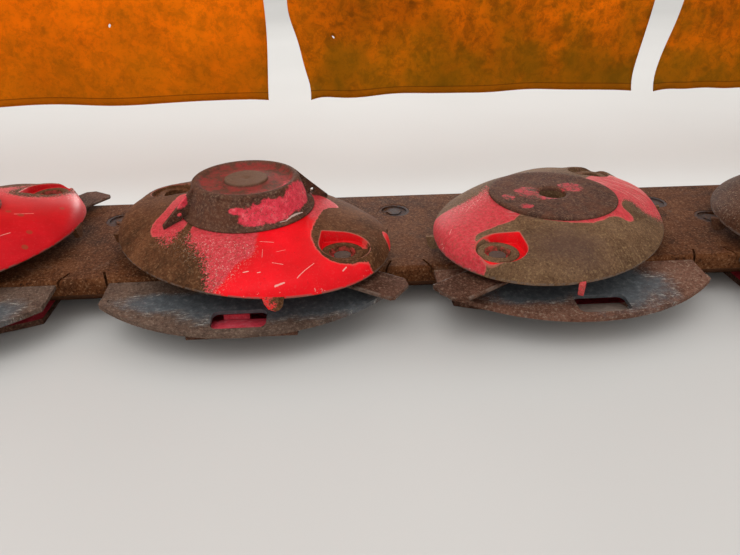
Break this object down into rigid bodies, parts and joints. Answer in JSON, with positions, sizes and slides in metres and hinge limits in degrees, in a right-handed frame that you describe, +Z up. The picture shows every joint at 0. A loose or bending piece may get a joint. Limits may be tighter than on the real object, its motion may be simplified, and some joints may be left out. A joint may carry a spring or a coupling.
{
  "type": "disc mower cutter bar with rear curtain",
  "caption": "Rusty mower cutter bar on skid shoes: oval cutting discs with swinging knives, rock guards, bevel drive and an orange curtain hung behind.",
  "frame": {"origin": "middle of the footprint, on the floor under the skid shoes", "axes": "+X along the bar towards the drive end, -Y towards the cutting side, +Z up"},
  "size_m": [2.8, 0.536, 0.565],
  "materials": {
    "bar_steel": "rusted",
    "housing_iron": "rusted",
    "plug_steel": "rusted",
    "shoe_steel": "worn red paint over rust",
    "end_steel": "rusted",
    "gearbox_paint": "worn red paint",
    "shaft_steel": "tarnished",
    "frame_paint": "worn red paint",
    "strip_steel": "rusted",
    "guard_steel": "rusted and scuffed bare",
    "curtain_fabric": "coated cloth, dirty",
    "disc_paint": "red paint worn to rust",
    "hat_steel": "rusted",
    "bolt_steel": "tarnished",
    "knife_steel": "rusted"
  },
  "bodies": {
    "frame": {"cutter_bar": "bar_steel", "bearing_housings": "housing_iron", "bar_plugs": "plug_steel", "skid_shoes": "shoe_steel", "inner_shoe": "end_steel", "hinge_ears": "end_steel", "outer_shoe": "end_steel", "drive_gearbox": "gearbox_paint", "inner_post": "frame_paint", "outer_post": "frame_paint", "curtain_rail": "frame_paint", "clamp_strips": "strip_steel", "guard_1": "guard_steel", "guard_2": "guard_steel", "guard_3": "guard_steel", "guard_4": "guard_steel", "guard_5": "guard_steel", "guard_6": "guard_steel", "curtain_flap_1": "curtain_fabric", "curtain_flap_2": "curtain_fabric", "curtain_flap_3": "curtain_fabric", "curtain_flap_4": "curtain_fabric", "curtain_flap_5": "curtain_fabric"},
    "rotor_1": {"disc_1": "disc_paint", "hat_1": "hat_steel", "knife_bolts_1": "bolt_steel"},
    "rotor_2": {"disc_2": "disc_paint", "cap_2": "hat_steel", "knife_bolts_2": "bolt_steel"},
    "rotor_3": {"disc_3": "disc_paint", "hat_3": "hat_steel", "knife_bolts_3": "bolt_steel"},
    "rotor_4": {"disc_4": "disc_paint", "cap_4": "hat_steel", "knife_bolts_4": "bolt_steel"},
    "rotor_5": {"disc_5": "disc_paint", "cap_5": "hat_steel", "knife_bolts_5": "bolt_steel"},
    "rotor_6": {"disc_6": "disc_paint", "hat_6": "hat_steel", "knife_bolts_6": "bolt_steel"},
    "blade_1a": {"knife_1a": "knife_steel"},
    "blade_1b": {"knife_1b": "knife_steel"},
    "blade_2a": {"knife_2a": "knife_steel"},
    "blade_2b": {"knife_2b": "knife_steel"},
    "blade_3a": {"knife_3a": "knife_steel"},
    "blade_3b": {"knife_3b": "knife_steel"},
    "blade_4a": {"knife_4a": "knife_steel"},
    "blade_4b": {"knife_4b": "knife_steel"},
    "blade_5a": {"knife_5a": "knife_steel"},
    "blade_5b": {"knife_5b": "knife_steel"},
    "blade_6a": {"knife_6a": "knife_steel"},
    "blade_6b": {"knife_6b": "knife_steel"},
    "drive_shaft": {"input_shaft": "shaft_steel"}
  },
  "joints": [
    {"name": "disc_1_spin", "type": "hinge", "parent": "frame", "child": "rotor_1", "pos_m": [-1.1, -0.082, 0.072], "axis": [0, 0, 1], "continuous": true},
    {"name": "disc_2_spin", "type": "hinge", "parent": "frame", "child": "rotor_2", "pos_m": [-0.7, -0.082, 0.072], "axis": [0, 0, 1], "continuous": true},
    {"name": "disc_3_spin", "type": "hinge", "parent": "frame", "child": "rotor_3", "pos_m": [-0.3, -0.082, 0.072], "axis": [0, 0, 1], "continuous": true},
    {"name": "disc_4_spin", "type": "hinge", "parent": "frame", "child": "rotor_4", "pos_m": [0.1, -0.082, 0.072], "axis": [0, 0, 1], "continuous": true},
    {"name": "disc_5_spin", "type": "hinge", "parent": "frame", "child": "rotor_5", "pos_m": [0.5, -0.082, 0.072], "axis": [0, 0, 1], "continuous": true},
    {"name": "disc_6_spin", "type": "hinge", "parent": "frame", "child": "rotor_6", "pos_m": [0.9, -0.082, 0.072], "axis": [0, 0, 1], "continuous": true},
    {"name": "knife_1a_swing", "type": "hinge", "parent": "rotor_1", "child": "blade_1a", "pos_m": [-1.21698, 0.01969, 0.0705], "axis": [0, 0, 1], "continuous": true},
    {"name": "knife_1b_swing", "type": "hinge", "parent": "rotor_1", "child": "blade_1b", "pos_m": [-0.98302, -0.18369, 0.0705], "axis": [0, 0, 1], "continuous": true},
    {"name": "knife_2a_swing", "type": "hinge", "parent": "rotor_2", "child": "blade_2a", "pos_m": [-0.59831, 0.03498, 0.0705], "axis": [0, 0, 1], "continuous": true},
    {"name": "knife_2b_swing", "type": "hinge", "parent": "rotor_2", "child": "blade_2b", "pos_m": [-0.80169, -0.19898, 0.0705], "axis": [0, 0, 1], "continuous": true},
    {"name": "knife_3a_swing", "type": "hinge", "parent": "rotor_3", "child": "blade_3a", "pos_m": [-0.18302, -0.18369, 0.0705], "axis": [0, 0, 1], "continuous": true},
    {"name": "knife_3b_swing", "type": "hinge", "parent": "rotor_3", "child": "blade_3b", "pos_m": [-0.41698, 0.01969, 0.0705], "axis": [0, 0, 1], "continuous": true},
    {"name": "knife_4a_swing", "type": "hinge", "parent": "rotor_4", "child": "blade_4a", "pos_m": [-0.00169, -0.19898, 0.0705], "axis": [0, 0, 1], "continuous": true},
    {"name": "knife_4b_swing", "type": "hinge", "parent": "rotor_4", "child": "blade_4b", "pos_m": [0.20169, 0.03498, 0.0705], "axis": [0, 0, 1], "continuous": true},
    {"name": "knife_5a_swing", "type": "hinge", "parent": "rotor_5", "child": "blade_5a", "pos_m": [0.38302, -0.18369, 0.0705], "axis": [0, 0, 1], "continuous": true},
    {"name": "knife_5b_swing", "type": "hinge", "parent": "rotor_5", "child": "blade_5b", "pos_m": [0.61698, 0.01969, 0.0705], "axis": [0, 0, 1], "continuous": true},
    {"name": "knife_6a_swing", "type": "hinge", "parent": "rotor_6", "child": "blade_6a", "pos_m": [1.00169, -0.19898, 0.0705], "axis": [0, 0, 1], "continuous": true},
    {"name": "knife_6b_swing", "type": "hinge", "parent": "rotor_6", "child": "blade_6b", "pos_m": [0.79831, 0.03498, 0.0705], "axis": [0, 0, 1], "continuous": true},
    {"name": "input_spin", "type": "hinge", "parent": "frame", "child": "drive_shaft", "pos_m": [1.32, -0.082, 0.15], "axis": [1, 0, 0], "continuous": true}
  ],
  "couplings": [
    {"joint": "disc_1_spin", "follows": "disc_3_spin", "ratio": 1},
    {"joint": "disc_2_spin", "follows": "disc_3_spin", "ratio": 1},
    {"joint": "disc_4_spin", "follows": "disc_3_spin", "ratio": 1},
    {"joint": "disc_5_spin", "follows": "disc_3_spin", "ratio": -1},
    {"joint": "disc_6_spin", "follows": "disc_3_spin", "ratio": -1},
    {"joint": "input_spin", "follows": "disc_3_spin", "ratio": 1}
  ]
}
